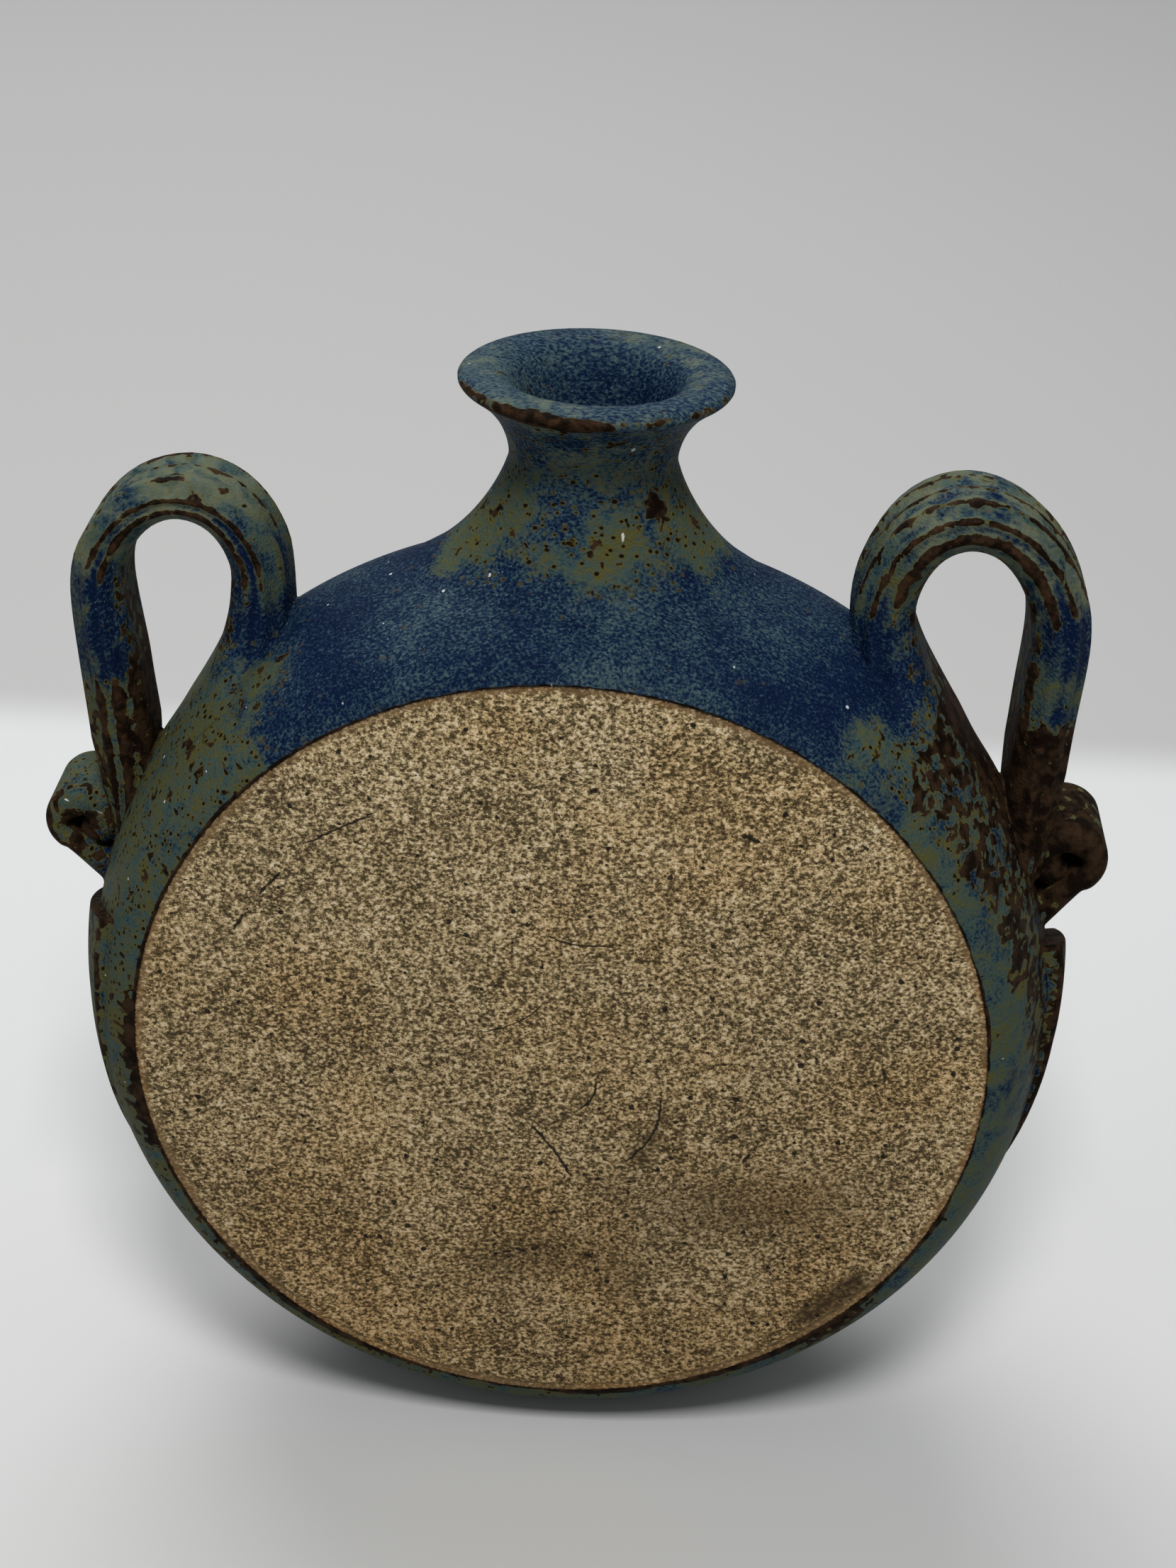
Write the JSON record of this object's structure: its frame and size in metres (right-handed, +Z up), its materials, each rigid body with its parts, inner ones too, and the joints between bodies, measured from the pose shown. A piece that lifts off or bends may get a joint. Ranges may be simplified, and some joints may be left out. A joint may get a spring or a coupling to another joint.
{
  "type": "pottery pilgrim flask",
  "caption": "Round flat-sided stoneware flask with a flared neck, ribbed strap handles, rolled scrolls and a bare base disc, standing on its girth.",
  "frame": {"origin": "on the resting flat, below the middle of the flask's width and depth", "axes": "+Z up out of the neck, -Y out of the bare base disc, +X towards the handle on the right of that disc"},
  "size_m": [0.1568, 0.066, 0.168],
  "materials": {
    "bare_clay": "matte, unglazed, speckled",
    "glaze": "satin, mottled blue, olive and brown"
  },
  "bodies": {
    "root": {"back_bowl": "bare_clay", "front_bowl": "glaze", "neck": "glaze", "left_handle": "glaze", "right_handle": "glaze", "left_scroll": "glaze", "right_scroll": "glaze", "left_side_strip": "glaze", "right_side_strip": "glaze"}
  },
  "joints": []
}
